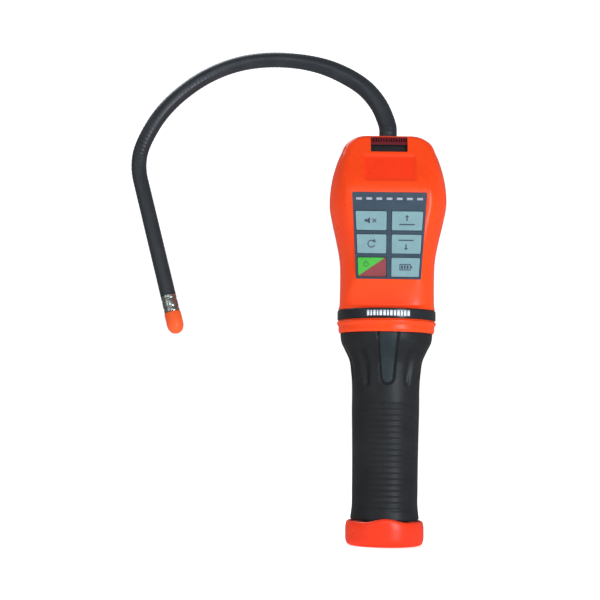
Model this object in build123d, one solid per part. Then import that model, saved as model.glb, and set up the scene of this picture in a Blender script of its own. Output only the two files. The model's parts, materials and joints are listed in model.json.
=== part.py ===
from build123d import *
import os
from math import cos, radians, sin, tan

# Hand-held leak detector: a two-cell handle, a keypad head and a bendable probe.
# Millimetres. The instrument stands on its battery cap: Z runs up the handle,
# the keypad faces -Y, and the origin is the centre of the cap's flat underside.

# ---- Driving dimensions ----------------------------------------------------
WALL = 2.2                    # moulded wall of the head covers
CLEAR = 0.25                  # gap round a moving key
FIT = 0.06                    # radial running fit of a pin in a knuckle
SKIN = 0.1                    # gap between static pieces that only touch

CELL_RADIUS = 13.1            # two C cells set the size of the handle
CELL_LENGTH = 49.6
CELL_BASE = 18.8

CAP_RADIUS = 21.9
CAP_TOP = 13.8
CAP_EDGE = 1.5                # rounding of the cap's lower edge
CAP_RIM = 2.0                 # rounding of the cap's upper edge
CAP_BAY_RADIUS = 16.6
CAP_FLOOR = 4.0
TAB_HALF_WIDTH = 12.0
TAB_TOP = 15.8
HINGE_Y = 23.6
HINGE_Z = 12.8
KNUCKLE_RADIUS = 2.4
PIN_RADIUS = 1.1
KNUCKLE_HALF = 5.6            # half length of the cap's middle knuckle
LUG_WIDTH = 3.6

TUBE_BORE = 13.7
TUBE_RADIUS = 16.4
TUBE_BASE = 14.2
GRIP_BASE = 14.2
RING_BASE = 118.0
RING_RADIUS = 27.2
RING_LIP = 0.7
BAND_BASE = 125.3
BAND_RADIUS = 27.7
SPIGOT_RADIUS = 25.2
HEAD_BASE = 131.0
LEDGE_RADIUS = 16.8           # opening in the ledge that closes the head's foot
HEAD_TOP = 229.5
SPLIT_Y = 5.0                 # parting plane between the front and rear covers

# Grip outline, from the bottom up: height, radius
GRIP_OUTLINE = (
    (GRIP_BASE, 19.3),
    (21.0, 18.5),
    (32.0, 18.4),
    (72.0, 18.9),
    (96.0, 19.6),
    (103.0, 20.7),
    (108.5, 23.2),
    (112.7, 25.2),
    (RING_BASE - SKIN, 26.0),
)
RIB_COUNT = 18
RIB_PITCH = 3.2
RIB_BASE = 20.5
RIB_GROOVE = 1.2
RIB_FLOOR = 17.9             # radius at the bottom of the grooves between ribs
RIB_HALF_ANGLE = 52.0
FLUTE_ANGLES = (14.0, 46.0)   # grooves above the ribs, each side of the front
FLUTE_RADIUS = 3.0
FLUTE_CENTRE = (24.0, 0, 106)
FLUTE_SLOPE = 14.0
FLUTE_LENGTH = 44.0

# Head outline, from the bottom up: height, half width, front, back, corner radius
HEAD_LEVELS = (
    (HEAD_BASE, 26.6, 26.4, 26.4, 23.6),
    (146.0, 26.4, 26.8, 26.6, 23.4),
    (159.0, 26.8, 27.6, 27.2, 23.4),
    (170.0, 28.8, 28.8, 28.2, 24.0),
    (181.0, 31.3, 30.2, 29.4, 24.8),
    (190.5, 32.9, 31.2, 30.4, 25.6),
    (200.0, 32.4, 31.4, 30.6, 25.6),
    (210.0, 30.3, 30.4, 29.4, 24.6),
    (219.0, 27.0, 28.0, 26.6, 22.6),
    (226.0, 22.9, 24.0, 22.2, 18.8),
    (HEAD_TOP, 17.6, 19.0, 17.2, 14.0),
)

PANEL_TILT = 5.5              # the keypad face leans out towards its top
PANEL_FOOT = 20.0             # depth of the keypad face at HEAD_BASE
CREASE_Z = 198.3              # where the keypad face meets the sloping brow
BROW_TILT = 26.0
FACET_TURN = 42.0             # narrow facets beside the keypad face
FACET_CUT = 0.6
FACET_HALF_WIDTH = 23.6
FACET_TAPER = 2.5

# Keypad, measured in the plane of the keypad face
PAD_BASE = 147.0
PAD_HEIGHT = 48.0
PAD_HALF_TOP = 20.7
PAD_HALF_BOTTOM = 18.0
PAD_RECESS = 0.8
PAD_PROUD = 0.15
PAD_LAND = 0.9                # width of the ledge that carries the overlay
KEY_MARGIN = 1.4
KEY_HEIGHT = 10.5
KEY_GAP = 2.3
KEY_HALF_GAP = 1.45
KEY_PROUD = 0.45
KEY_BACK = 2.5
KEY_TRAVEL = 0.45
KEY_CORNER = 0.6
DOME_RADIUS = 4.0
DOME_HEIGHT = 0.5
LED_COUNT = 7
LED_PITCH = 5.6
LED_WIDTH = 3.2
LED_HEIGHT = 1.3
LED_FROM_TOP = 3.65
BOARD = 1.2

# Sound vent at the top of the brow
VENT_HALF_WIDTH = 10.0
VENT_SLOTS = ((219.4, 223.4), (226.0, 228.2))   # lower and upper edge of each slot

# Probe: a bendable neck in a plane that leans back from the head
NECK_Y = 2.0
NECK_LEAN = 10.0
NECK_RADIUS = 4.35
BOOT_RADIUS = 5.1
BOOT_LENGTH = 45.0            # full-radius length of the thicker base
BOOT_TAPER = 40.0
LEAN_PIVOT = 3.0              # height of the lean pivot above the head
CURL_PIVOT = 8.9              # the first curl pivot, above the head
CURL_TURN = 195.3 / 9         # turn of the neck at each curl pivot
CURL_SPACING = (15.8, 17.4, 27.0, 33.9, 29.5, 31.7, 27.1, 14.9)
TAIL_LENGTH = 77.9
BEND_LIMIT = 26.5             # largest bend at any pivot
RIM = 0.9                     # the socket's rim, ahead of the pivot
BALL_INSET = 0.5
BALL_GAP = 0.08

COLLAR_RADIUS = 4.3
COLLAR_LENGTH = 9.9
TIP_RADIUS = 4.65
TIP_LENGTH = 11.9
TIP_WALL = 1.2
SOCKET_RADIUS = TIP_RADIUS - TIP_WALL - FIT
SOCKET_LENGTH = 4.0
SENSOR_RADIUS = 1.9
SENSOR_LENGTH = 7.2
INLET_RADIUS = 0.9            # hole in the guard's nose

# Four cover screws: half spacing across, height, then one end of the boss
SCREW_SPOTS = ((23.0, 206.0), (20.0, 140.0))
SCREW_RADIUS = 1.5
BOSS_RADIUS = 3.2
BOSS_END = 4.9
SCREW_HEAD_RADIUS = 2.8
SCREW_HEAD = 2.0
SCREW_SEAT = 17.0             # how far back the seat of each screw's head is

os.makedirs("parts", exist_ok=True)


def save(name, shape):
    """Write one node, as one or more separate solids."""
    shape.label = name
    export_step(shape, f"parts/{name}.step")


# ---- Reference frames and shared shapes ------------------------------------
def panel_depth(z):
    return PANEL_FOOT + (z - HEAD_BASE) * tan(radians(PANEL_TILT))


def face_frame(z, depth, tilt):
    """Frame on a front face: x across, y up the face, z out of it."""
    normal = (0, -cos(radians(tilt)), -sin(radians(tilt)))
    return Plane(origin=(0, -depth, z), x_dir=(1, 0, 0), z_dir=normal)


PANEL = face_frame(PAD_BASE, panel_depth(PAD_BASE), PANEL_TILT)
BROW = face_frame(CREASE_Z, panel_depth(CREASE_Z), -BROW_TILT)


def brow_height(z):
    """How far up the sloping brow a height is."""
    return (z - CREASE_Z) / cos(radians(BROW_TILT))


def ring(inner, outer, low, high):
    tube = Cylinder(outer, high - low) - Cylinder(inner, high - low)
    return Pos(0, 0, (low + high) / 2) * tube


def disc(radius, low, high):
    return Pos(0, 0, (low + high) / 2) * Cylinder(radius, high - low)


def turned(points):
    """Solid of revolution about Z from (radius, height) points."""
    outline = Polyline(*[(r, 0, z) for r, z in points], close=True)
    return revolve(make_face(outline), Axis.Z)


def beyond(frame, inset=0.0):
    """Everything outside a face, for cutting."""
    return frame * Pos(0, 0, 100 - inset) * Box(200, 200, 200)


def head_body(inset):
    """The head's outer form, or its inner form when inset by the wall."""
    levels = []
    for z, half, front, back, corner in HEAD_LEVELS:
        height = min(z, HEAD_TOP - inset)
        outline = RectangleRounded(2 * (half - inset), front + back - 2 * inset, corner - inset)
        levels.append(Pos(0, (back - front) / 2, height) * outline)
    body = loft(levels)
    body -= beyond(PANEL, inset)
    body -= beyond(BROW, inset)
    for side in (-1, 1):
        facet = PANEL * Pos(side * FACET_HALF_WIDTH, 0, -FACET_CUT)
        facet = facet * Rot(0, 0, -side * FACET_TAPER) * Rot(0, side * FACET_TURN, 0)
        body -= facet * Pos(0, 0, 100 - inset) * Box(200, 200, 200)
    return body


# ---- Head ------------------------------------------------------------------
def pad_outline(inset):
    """The keypad's tapered outline, on the keypad face."""
    low, high = PAD_HALF_BOTTOM - inset, PAD_HALF_TOP - inset
    return make_face(Polyline((-low, inset), (low, inset), (high, PAD_HEIGHT - inset),
                              (-high, PAD_HEIGHT - inset), close=True))


def slab(outline, low, high):
    """An outline on the keypad face made solid between two heights off it."""
    return PANEL * Pos(0, 0, low) * extrude(outline, high - low)


def head_shell():
    outer = head_body(0) + disc(SPIGOT_RADIUS, RING_BASE + SKIN, HEAD_BASE)
    inner = head_body(WALL) + disc(SPIGOT_RADIUS - WALL, RING_BASE, HEAD_BASE - WALL)
    shell = outer - inner - disc(LEDGE_RADIUS, RING_BASE, HEAD_BASE + 1)
    for side in (-1, 1):
        for x, z in SCREW_SPOTS:
            length = panel_depth(z) - WALL + BOSS_END
            boss = Pos(side * x, 0, z) * Rot(90, 0, 0) * Cylinder(BOSS_RADIUS, 60)
            limit = Pos(0, BOSS_END - length / 2, z) * Box(80, length, 20)
            shell += boss & limit & head_body(WALL / 2)
    return shell


def screw_axis(x, z, y_low, y_high, radius):
    """A cylinder along Y at a screw's place."""
    return Pos(x, (y_low + y_high) / 2, z) * Rot(90, 0, 0) * Cylinder(radius, y_high - y_low)


def half_space(front):
    """The side of the parting plane that a cover fills."""
    gap = SKIN / 2
    offset = -100 - gap if front else 100 + gap
    return Pos(0, SPLIT_Y + offset, 175) * Box(200, 200, 200)


def vent_slots(depth):
    """The two slots of the sound vent, cut square to the brow."""
    cuts = []
    for low, high in VENT_SLOTS:
        up = brow_height((low + high) / 2)
        tall = (high - low) / cos(radians(BROW_TILT))
        cuts.append(BROW * Pos(0, up, 0) * Box(2 * VENT_HALF_WIDTH, tall, depth))
    return cuts[0] + cuts[1]


def front_cover(shell):
    cover = shell & half_space(True)
    cover -= slab(pad_outline(0), -PAD_RECESS, 5)
    cover -= slab(pad_outline(PAD_LAND), -4 * WALL, 5)
    cover -= vent_slots(4 * WALL)
    cover -= Pos(0, NECK_Y, HEAD_TOP) * Cylinder(6.4, 12)
    for side in (-1, 1):
        for x, z in SCREW_SPOTS:
            cover -= screw_axis(side * x, z, -12, 10, SCREW_RADIUS)
    return cover


def rear_cover(shell):
    cover = shell & half_space(False)
    cover -= Pos(0, NECK_Y, HEAD_TOP) * Cylinder(6.4, 12)
    for side in (-1, 1):
        for x, z in SCREW_SPOTS:
            column = screw_axis(side * x, z, SPLIT_Y + SKIN / 2, 40, BOSS_RADIUS)
            cover += column & head_body(0)
            cover -= screw_axis(side * x, z, 0, 40, SCREW_RADIUS + SKIN)
            cover -= screw_axis(side * x, z, SCREW_SEAT, 60, SCREW_HEAD_RADIUS + SKIN)
    return cover


def cover_screws():
    screws = []
    for side in (-1, 1):
        for x, z in SCREW_SPOTS:
            seat = SCREW_SEAT + SKIN
            shank = screw_axis(side * x, z, -10, seat, SCREW_RADIUS - 0.02)
            head = screw_axis(side * x, z, seat, seat + SCREW_HEAD, SCREW_HEAD_RADIUS)
            slot = Pos(side * x, seat + SCREW_HEAD, z) * Box(1.0, 1.6, 1.0)
            cross = Pos(side * x, seat + SCREW_HEAD, z)
            drive = cross * Box(3.4, 2.0, 0.8) + cross * Box(0.8, 2.0, 3.4) + slot
            screws.append(shank + head - drive)
    return Compound(children=screws)


def key_outline(row, side, grow):
    """One key's outline: square inside, slanted outside like the keypad."""
    low = KEY_MARGIN + row * (KEY_HEIGHT + KEY_GAP) - grow
    high = low + KEY_HEIGHT + 2 * grow
    slope = (PAD_HALF_TOP - PAD_HALF_BOTTOM) / PAD_HEIGHT
    outer_low = PAD_HALF_BOTTOM - KEY_MARGIN + slope * low + grow
    outer_high = PAD_HALF_BOTTOM - KEY_MARGIN + slope * high + grow
    inner = KEY_HALF_GAP - grow
    corners = ((inner, low), (outer_low, low), (outer_high, high), (inner, high))
    face = make_face(Polyline(*[(side * x, y) for x, y in corners], close=True))
    return fillet(face.vertices(), KEY_CORNER)


def key_places():
    """Each key's name, row from the bottom, and side."""
    names = (("power", "battery_test"), ("reset", "sensitivity_down"), ("mute", "sensitivity_up"))
    for row, pair in enumerate(names):
        for name, side in zip(pair, (-1, 1)):
            yield name, row, side


def led_spots():
    return [((i - (LED_COUNT - 1) / 2) * LED_PITCH, PAD_HEIGHT - LED_FROM_TOP) for i in range(LED_COUNT)]


def led_block(x, y, grow, low, high):
    block = Box(LED_WIDTH + 2 * grow, LED_HEIGHT + 2 * grow, high - low)
    return PANEL * Pos(x, y, (low + high) / 2) * block


def keypad_overlay():
    overlay = slab(pad_outline(SKIN), -PAD_RECESS + 0.02, PAD_PROUD)
    for _, row, side in key_places():
        overlay -= slab(key_outline(row, side, CLEAR), -2, 2)
    for x, y in led_spots():
        overlay -= led_block(x, y, SKIN, -2, 2)
    return overlay


def key(row, side):
    body = slab(key_outline(row, side, 0), -KEY_BACK, KEY_PROUD)
    top = body.faces().filter_by(Axis(PANEL.origin, PANEL.z_dir)).sort_by(Axis((0, 0, 0), PANEL.z_dir))[-1]
    return fillet(top.edges(), 0.25)


def key_domes():
    domes = []
    top = -KEY_BACK - KEY_TRAVEL - 0.05
    for _, row, side in key_places():
        middle = key_outline(row, side, 0).center()
        spot = PANEL * Pos(middle.X, middle.Y, top - DOME_HEIGHT / 2)
        domes.append(spot * Cylinder(DOME_RADIUS, DOME_HEIGHT))
    return Compound(children=domes)


BOARD_FRONT = -KEY_BACK - KEY_TRAVEL - 0.05 - DOME_HEIGHT


def keypad_board():
    return slab(pad_outline(1.6), BOARD_FRONT - BOARD, BOARD_FRONT)


def level_leds():
    return Compound(children=[led_block(x, y, 0, BOARD_FRONT, 0.05) for x, y in led_spots()])


def ribbon_cable():
    """Flat tail that joins the keypad board to the main board."""
    width = 12.0
    start = PANEL * Pos(0, 9.5, BOARD_FRONT - BOARD)
    y0 = start.position.Y + 0.6
    z0 = start.position.Z
    board_y = MAIN_Y - 1.0
    outline = Polyline((y0, z0 + 3), (y0 + 0.6, z0 + 3), (y0 + 0.6, z0 - 3), (board_y, z0 - 6),
                       (board_y, z0 - 6.6), (y0, z0 - 3.6), close=True)
    return Pos(-width / 2, 0, 0) * extrude(Plane.YZ * make_face(outline), width)


BEEPER_Z = 207.6
MAIN_Y = 7.0                  # front face of the main board
MAIN_HALF_WIDTH = 17.0
MAIN_BASE = 150.0
MAIN_TOP = 204.0


def main_board():
    height = MAIN_TOP - MAIN_BASE
    return Pos(0, MAIN_Y + 0.8, MAIN_BASE + height / 2) * Box(2 * MAIN_HALF_WIDTH, 1.6, height)


def board_block(x, z, width, height, depth):
    """A component standing on the main board's front."""
    return Pos(x, MAIN_Y - depth / 2, z) * Box(width, depth, height)


def board_chips():
    chips = [
        board_block(-6, 188, 12, 12, 1.6),
        board_block(9, 190, 7, 5, 1.4),
        board_block(9, 181, 5, 4, 1.2),
        board_block(-9, 172, 6, 8, 1.4),
        board_block(10, 170, 8, 6, 2.4),
    ]
    return Compound(children=chips)


def board_capacitors():
    caps = []
    for x in (-11, 0, 11):
        caps.append(Pos(x, MAIN_Y - 4.0, 158) * Rot(90, 0, 0) * Cylinder(3.1, 8.0))
    return Compound(children=caps)


def step_up_transformer():
    """Makes the sensing tip's high voltage: a wound core on the board's back."""
    core = Box(16, 12, 14) - Box(9, 13, 7)
    bobbin = Box(8.8, 15, 6.8)
    return Pos(0, MAIN_Y + 1.7 + 7.5, 190) * (core + bobbin)


def beeper():
    body = Cylinder(6.5, 5.0) - Pos(0, 0, 2.5) * Cylinder(1.4, 2.0)
    return BROW * Pos(0, brow_height(BEEPER_Z), -WALL - 3.4) * body


def sound_vent():
    """Louvre insert behind the two slots of the brow."""
    up = brow_height((VENT_SLOTS[0][0] + VENT_SLOTS[1][1]) / 2)
    plate = BROW * Pos(0, up - 0.6, -WALL - 0.8) * Box(2 * VENT_HALF_WIDTH + 2, 8.4, 1.2)
    return plate & head_body(WALL + 0.1)


# ---- Collar and handle -----------------------------------------------------
def collar_ring():
    inner = SPIGOT_RADIUS + SKIN
    points = [(inner, RING_BASE), (26.6, RING_BASE), (RING_RADIUS - 0.2, RING_BASE + 0.6),
              (RING_RADIUS - 0.2, RING_BASE + 4.4), (RING_RADIUS + RING_LIP, RING_BASE + 5.4),
              (RING_RADIUS + RING_LIP, RING_BASE + 6.2), (RING_RADIUS - 0.2, RING_BASE + 7.0),
              (RING_RADIUS - 0.2, BAND_BASE - SKIN), (inner, BAND_BASE - SKIN)]
    return turned(points)


def label_band():
    return ring(SPIGOT_RADIUS + SKIN, BAND_RADIUS, BAND_BASE, HEAD_BASE - SKIN)


def handle_tube():
    flare = SPIGOT_RADIUS - WALL - SKIN
    points = [(TUBE_BORE, TUBE_BASE), (TUBE_RADIUS, TUBE_BASE), (TUBE_RADIUS, 98),
              (flare - 1.5, 112), (flare, RING_BASE), (flare, RING_BASE + 5),
              (TUBE_BORE, RING_BASE + 5)]
    tube = turned(points)
    for side in (-1, 1):
        tube += hinge_lug(side, 0)
    return tube


def hinge_lug(side, grow):
    """One of the two lugs that hold the cap's hinge pin."""
    x = side * (KNUCKLE_HALF + 0.3 + LUG_WIDTH / 2)
    width = LUG_WIDTH + 2 * grow
    reach = HINGE_Y - 15
    arm = Pos(x, 15 + reach / 2, TUBE_BASE + 0.9) * Box(width, reach, 1.8 + 2 * grow)
    knuckle = Pos(x, HINGE_Y, HINGE_Z) * Rot(0, 90, 0) * Cylinder(KNUCKLE_RADIUS, width)
    lug = arm + knuckle
    lug -= disc(TUBE_RADIUS - 1, 10, 30)
    if grow:
        return lug
    return lug - Pos(x, HINGE_Y, HINGE_Z) * Rot(0, 90, 0) * Cylinder(PIN_RADIUS, 3 * width)


def grip_sleeve():
    """Rubber sleeve with finger ribs in front and flutes under the collar."""
    flare = SPIGOT_RADIUS - WALL
    outer = Spline(*[(r, 0, z) for z, r in GRIP_OUTLINE])
    last = GRIP_OUTLINE[-1]
    inner = Polyline((last[1], 0, last[0]), (flare, 0, last[0]), (flare - 1.5, 0, 112),
                     (TUBE_RADIUS + SKIN, 0, 98), (TUBE_RADIUS + SKIN, 0, GRIP_BASE),
                     (GRIP_OUTLINE[0][1], 0, GRIP_BASE))
    sleeve = revolve(make_face([outer, inner]), Axis.Z)
    start = -90 - RIB_HALF_ANGLE
    for index in range(RIB_COUNT):
        z = RIB_BASE + index * RIB_PITCH
        profile = Pos(20, 0, z) * Rot(90, 0, 0) * Rectangle(2 * (20 - RIB_FLOOR), RIB_GROOVE)
        groove = revolve(profile, Axis.Z, 2 * RIB_HALF_ANGLE)
        sleeve -= Rot(0, 0, start) * groove
    for angle in FLUTE_ANGLES:
        flute = Pos(*FLUTE_CENTRE) * Rot(0, FLUTE_SLOPE, 0) * Cylinder(FLUTE_RADIUS, FLUTE_LENGTH)
        for side in (-1, 1):
            sleeve -= Rot(0, 0, -90 + side * angle) * flute
    for side in (-1, 1):
        sleeve -= hinge_lug(side, 0.3)
    return sleeve


def battery_cell(index):
    low = CELL_BASE + index * (CELL_LENGTH + 0.2)
    body = disc(CELL_RADIUS, low, low + CELL_LENGTH - 2)
    return body + disc(3.2, low + CELL_LENGTH - 2, low + CELL_LENGTH)


def top_contact():
    top = CELL_BASE + 2 * CELL_LENGTH + 0.2
    plate = disc(TUBE_BORE - SKIN, top + 0.1, top + 0.7)
    return plate - Pos(0, 9, top) * Cylinder(1.5, 4)


def battery_leads():
    """Two short leads from the contacts up to the main board."""
    leads = []
    top = CELL_BASE + 2 * CELL_LENGTH + 1.0
    for x in (-4, 4):
        path = FilletPolyline((x, 9, top), (x, 9, 135), (x, MAIN_Y + 3.5, 145), (x, MAIN_Y + 3.5, 156),
                              radius=6)
        leads.append(sweep(Plane(path @ 0, z_dir=path % 0) * Circle(0.8), path))
    return Compound(children=leads)


# ---- Battery cap -----------------------------------------------------------
def battery_cap():
    blank = disc(CAP_RADIUS, 0, CAP_TOP)
    blank = fillet(blank.edges().group_by(Axis.Z)[0], CAP_EDGE)
    blank = fillet(blank.edges().group_by(Axis.Z)[-1], CAP_RIM)
    tab = ring(19.7, CAP_RADIUS - 0.2, CAP_TOP - 4, TAB_TOP)
    tab = tab & Pos(0, -21, CAP_TOP) * Box(2 * TAB_HALF_WIDTH, 14, 10)
    cap = blank + tab
    cap -= disc(CAP_BAY_RADIUS, CAP_FLOOR, CAP_TOP + 1)
    knuckle = Pos(0, HINGE_Y, HINGE_Z) * Rot(0, 90, 0) * Cylinder(KNUCKLE_RADIUS, 2 * KNUCKLE_HALF)
    web = Pos(0, HINGE_Y - 2, HINGE_Z - 1.8) * Box(2 * KNUCKLE_HALF, 4.4, 4.0)
    cap += knuckle + (web - disc(CAP_RADIUS - 1.5, 0, 30))
    return cap - Pos(0, HINGE_Y, HINGE_Z) * Rot(0, 90, 0) * Cylinder(PIN_RADIUS + FIT, 40)


def cap_seal():
    return ring(CAP_BAY_RADIUS - 1.6, CAP_BAY_RADIUS - SKIN, CAP_TOP - 3, CAP_TOP - 1.2)


def cap_contact():
    return disc(11.0, CAP_FLOOR + 0.05, CAP_FLOOR + 0.65)


def cap_spring():
    """Conical contact spring, drawn up to the lower cell."""
    low = CAP_FLOOR + 0.7
    coils = []
    turns = 5
    wire = 0.6
    step = (CELL_BASE - 0.4 - low - 2 * wire) / (turns - 1)
    for index in range(turns):
        radius = 9.0 - index * 1.1
        coils.append(Pos(0, 0, low + wire + index * step) * Torus(radius, wire))
    return Compound(children=coils)


def hinge_pin():
    length = 2 * (KNUCKLE_HALF + 0.3 + LUG_WIDTH)
    return Pos(0, HINGE_Y, HINGE_Z) * Rot(0, 90, 0) * Cylinder(PIN_RADIUS, length)


# ---- Probe -----------------------------------------------------------------
UP = Vector(0, sin(radians(NECK_LEAN)), cos(radians(NECK_LEAN)))
ACROSS = Vector(1, 0, 0)
NECK_BASE = Vector(0, NECK_Y, HEAD_TOP)


def neck_point(across, up):
    return NECK_BASE + ACROSS * across + UP * up


def neck_pivots():
    """The lean pivot, the nine curl pivots and the end of the sleeve."""
    points = [NECK_BASE + Vector(0, 0, LEAN_PIVOT)]
    across, up, heading = 0.0, CURL_PIVOT, 90.0
    points.append(neck_point(across, up))
    for length in CURL_SPACING + (TAIL_LENGTH,):
        heading += CURL_TURN
        across += length * cos(radians(heading))
        up += length * sin(radians(heading))
        points.append(neck_point(across, up))
    return points


def sleeve_radius(distance):
    """The neck's radius at a distance along it: a thicker boot, then the sleeve."""
    drop = (BOOT_RADIUS - NECK_RADIUS) * (distance - BOOT_LENGTH) / BOOT_TAPER
    return BOOT_RADIUS - min(max(drop, 0.0), BOOT_RADIUS - NECK_RADIUS)


def shoulder(radius):
    """How far short of a pivot a link's body stops, so that the next can bend."""
    bend = radians(BEND_LIMIT)
    return radius * sin(bend) - RIM * cos(bend) + 0.4


def neck_link(start, end, near, far, socket, ball):
    """A link between two pivots, hollowed for one ball and ending in the next."""
    length = (end - start).length
    low = RIM if socket else 0.0
    high = length - shoulder(far) if ball else length
    body = turned([(0, low), (near, low), (far, high), (0, high)])
    if ball:
        body += Pos(0, 0, length) * Sphere(far - BALL_INSET)
    if socket:
        body -= Sphere(near - BALL_INSET + BALL_GAP)
    return Plane(origin=start, z_dir=end - start) * body


def save_neck():
    pivots = neck_pivots()
    root_start = Vector(0, NECK_Y, HEAD_TOP - 16)
    save("neck_root", neck_link(root_start, pivots[0], BOOT_RADIUS, BOOT_RADIUS, False, True))
    distance = 0.0
    count = len(pivots) - 1
    for index in range(count):
        start, end = pivots[index], pivots[index + 1]
        near = sleeve_radius(distance)
        distance += (end - start).length
        far = sleeve_radius(distance)
        last = index == count - 1
        save(f"neck_link_{index}", neck_link(start, end, near, far, True, not last))
    return Plane(origin=pivots[-1], z_dir=pivots[-1] - pivots[-2])


def tip_collar():
    body = disc(COLLAR_RADIUS, SKIN, COLLAR_LENGTH)
    body -= disc(COLLAR_RADIUS - 0.6, COLLAR_LENGTH - 2, COLLAR_LENGTH + 1)
    return body - disc(1.2, -1, COLLAR_LENGTH + 1)


def sensor_socket():
    low = COLLAR_LENGTH - 2 + SKIN
    body = disc(SOCKET_RADIUS, low, COLLAR_LENGTH + SOCKET_LENGTH)
    return body - disc(SENSOR_RADIUS, COLLAR_LENGTH + 1, COLLAR_LENGTH + SOCKET_LENGTH + 1)


def sensor_element():
    low = COLLAR_LENGTH + 1
    body = disc(SENSOR_RADIUS, low, low + SENSOR_LENGTH)
    point = Pos(0, 0, low + SENSOR_LENGTH) * Sphere(SENSOR_RADIUS * 0.6)
    return body + point


def sensor_guard():
    """Bullet-shaped guard that pushes on over the sensing tip."""
    low = COLLAR_LENGTH + 0.1
    high = COLLAR_LENGTH + TIP_LENGTH

    def bullet(radius, top):
        return disc(radius, low, top - radius) + Pos(0, 0, top - radius) * Sphere(radius)

    guard = bullet(TIP_RADIUS, high) - bullet(TIP_RADIUS - TIP_WALL, high - TIP_WALL)
    return guard - disc(INLET_RADIUS, low + 4, high + 1)


def neck_gland():
    """Bush that grips the probe in the top of the head."""
    flange = disc(8.6, HEAD_TOP - WALL - 2.6, HEAD_TOP - WALL - 0.6)
    bush = disc(6.3, HEAD_TOP - 14, HEAD_TOP - 0.3)
    return Pos(0, NECK_Y, 0) * (flange + bush - disc(BOOT_RADIUS + 0.03, 200, 240))


def gland_nut():
    low = HEAD_TOP - 12
    nut = Pos(0, 0, low) * extrude(RegularPolygon(8.2, 6), 4.5)
    return Pos(0, NECK_Y, 0) * (nut - disc(6.3 + 0.05, 200, 240))


# ---- Everything ------------------------------------------------------------
def save_head():
    shell = head_shell()
    save("front_cover", front_cover(shell))
    save("rear_cover", rear_cover(shell))
    save("cover_screws", cover_screws())
    save("keypad_overlay", keypad_overlay())
    for name, row, side in key_places():
        save(f"key_{name}", key(row, side))
    save("key_domes", key_domes())
    save("keypad_board", keypad_board())
    save("level_leds", level_leds())
    save("ribbon_cable", ribbon_cable())
    save("main_board", main_board())
    save("board_chips", board_chips())
    save("board_capacitors", board_capacitors())
    save("step_up_transformer", step_up_transformer())
    save("beeper", beeper())
    save("sound_vent", sound_vent())
    save("neck_gland", neck_gland())
    save("gland_nut", gland_nut())


def save_handle():
    save("collar_ring", collar_ring())
    save("label_band", label_band())
    save("handle_tube", handle_tube())
    save("grip_sleeve", grip_sleeve())
    for index in range(2):
        save(f"battery_cell_{index + 1}", battery_cell(index))
    save("top_contact", top_contact())
    save("battery_leads", battery_leads())
    save("battery_cap", battery_cap())
    save("cap_seal", cap_seal())
    save("cap_contact", cap_contact())
    save("cap_spring", cap_spring())
    save("cap_hinge_pin", hinge_pin())


def save_probe():
    end = save_neck()
    save("tip_collar", end * tip_collar())
    save("sensor_socket", end * sensor_socket())
    save("sensor_element", end * sensor_element())
    save("sensor_guard", end * sensor_guard())


save_head()
save_handle()
save_probe()
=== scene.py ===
import json
from math import atan2, ceil, cos, pi, radians, sin, tan

import bmesh
import bpy
import numpy as np
from mathutils import Matrix, Vector


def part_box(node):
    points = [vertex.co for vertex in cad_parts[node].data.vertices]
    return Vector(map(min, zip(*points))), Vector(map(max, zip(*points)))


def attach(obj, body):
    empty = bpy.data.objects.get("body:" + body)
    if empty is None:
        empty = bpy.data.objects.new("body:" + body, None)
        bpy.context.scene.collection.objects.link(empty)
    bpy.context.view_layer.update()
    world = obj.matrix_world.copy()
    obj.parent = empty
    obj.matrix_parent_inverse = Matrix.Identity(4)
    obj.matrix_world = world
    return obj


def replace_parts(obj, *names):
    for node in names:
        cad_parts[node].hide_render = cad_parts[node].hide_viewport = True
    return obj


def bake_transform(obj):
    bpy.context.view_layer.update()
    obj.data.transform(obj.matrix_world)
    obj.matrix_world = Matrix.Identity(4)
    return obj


# Looks of a hand-held leak detector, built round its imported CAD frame.
# Shapes are worked out in millimetres and written to the meshes in metres.
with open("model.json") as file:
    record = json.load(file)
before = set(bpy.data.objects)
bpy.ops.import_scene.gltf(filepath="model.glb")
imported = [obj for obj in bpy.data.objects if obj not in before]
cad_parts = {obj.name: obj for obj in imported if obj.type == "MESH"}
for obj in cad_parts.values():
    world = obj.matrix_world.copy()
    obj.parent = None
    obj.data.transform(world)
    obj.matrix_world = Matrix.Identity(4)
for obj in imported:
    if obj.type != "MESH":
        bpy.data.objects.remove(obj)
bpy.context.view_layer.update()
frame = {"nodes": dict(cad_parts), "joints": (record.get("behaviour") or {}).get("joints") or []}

MM = 0.001
NODES = frame["nodes"]
JOINTS = {joint["name"]: joint for joint in frame["joints"]}
KEYS = ("mute", "reset", "power", "sensitivity_up", "sensitivity_down", "battery_test")
CURLS = 9

# ---- Sizes shared with the CAD, in millimetres -----------------------------
WALL = 2.2
HEAD_BASE = 131.0
HEAD_TOP = 229.5
SPLIT_Y = 5.0
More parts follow.
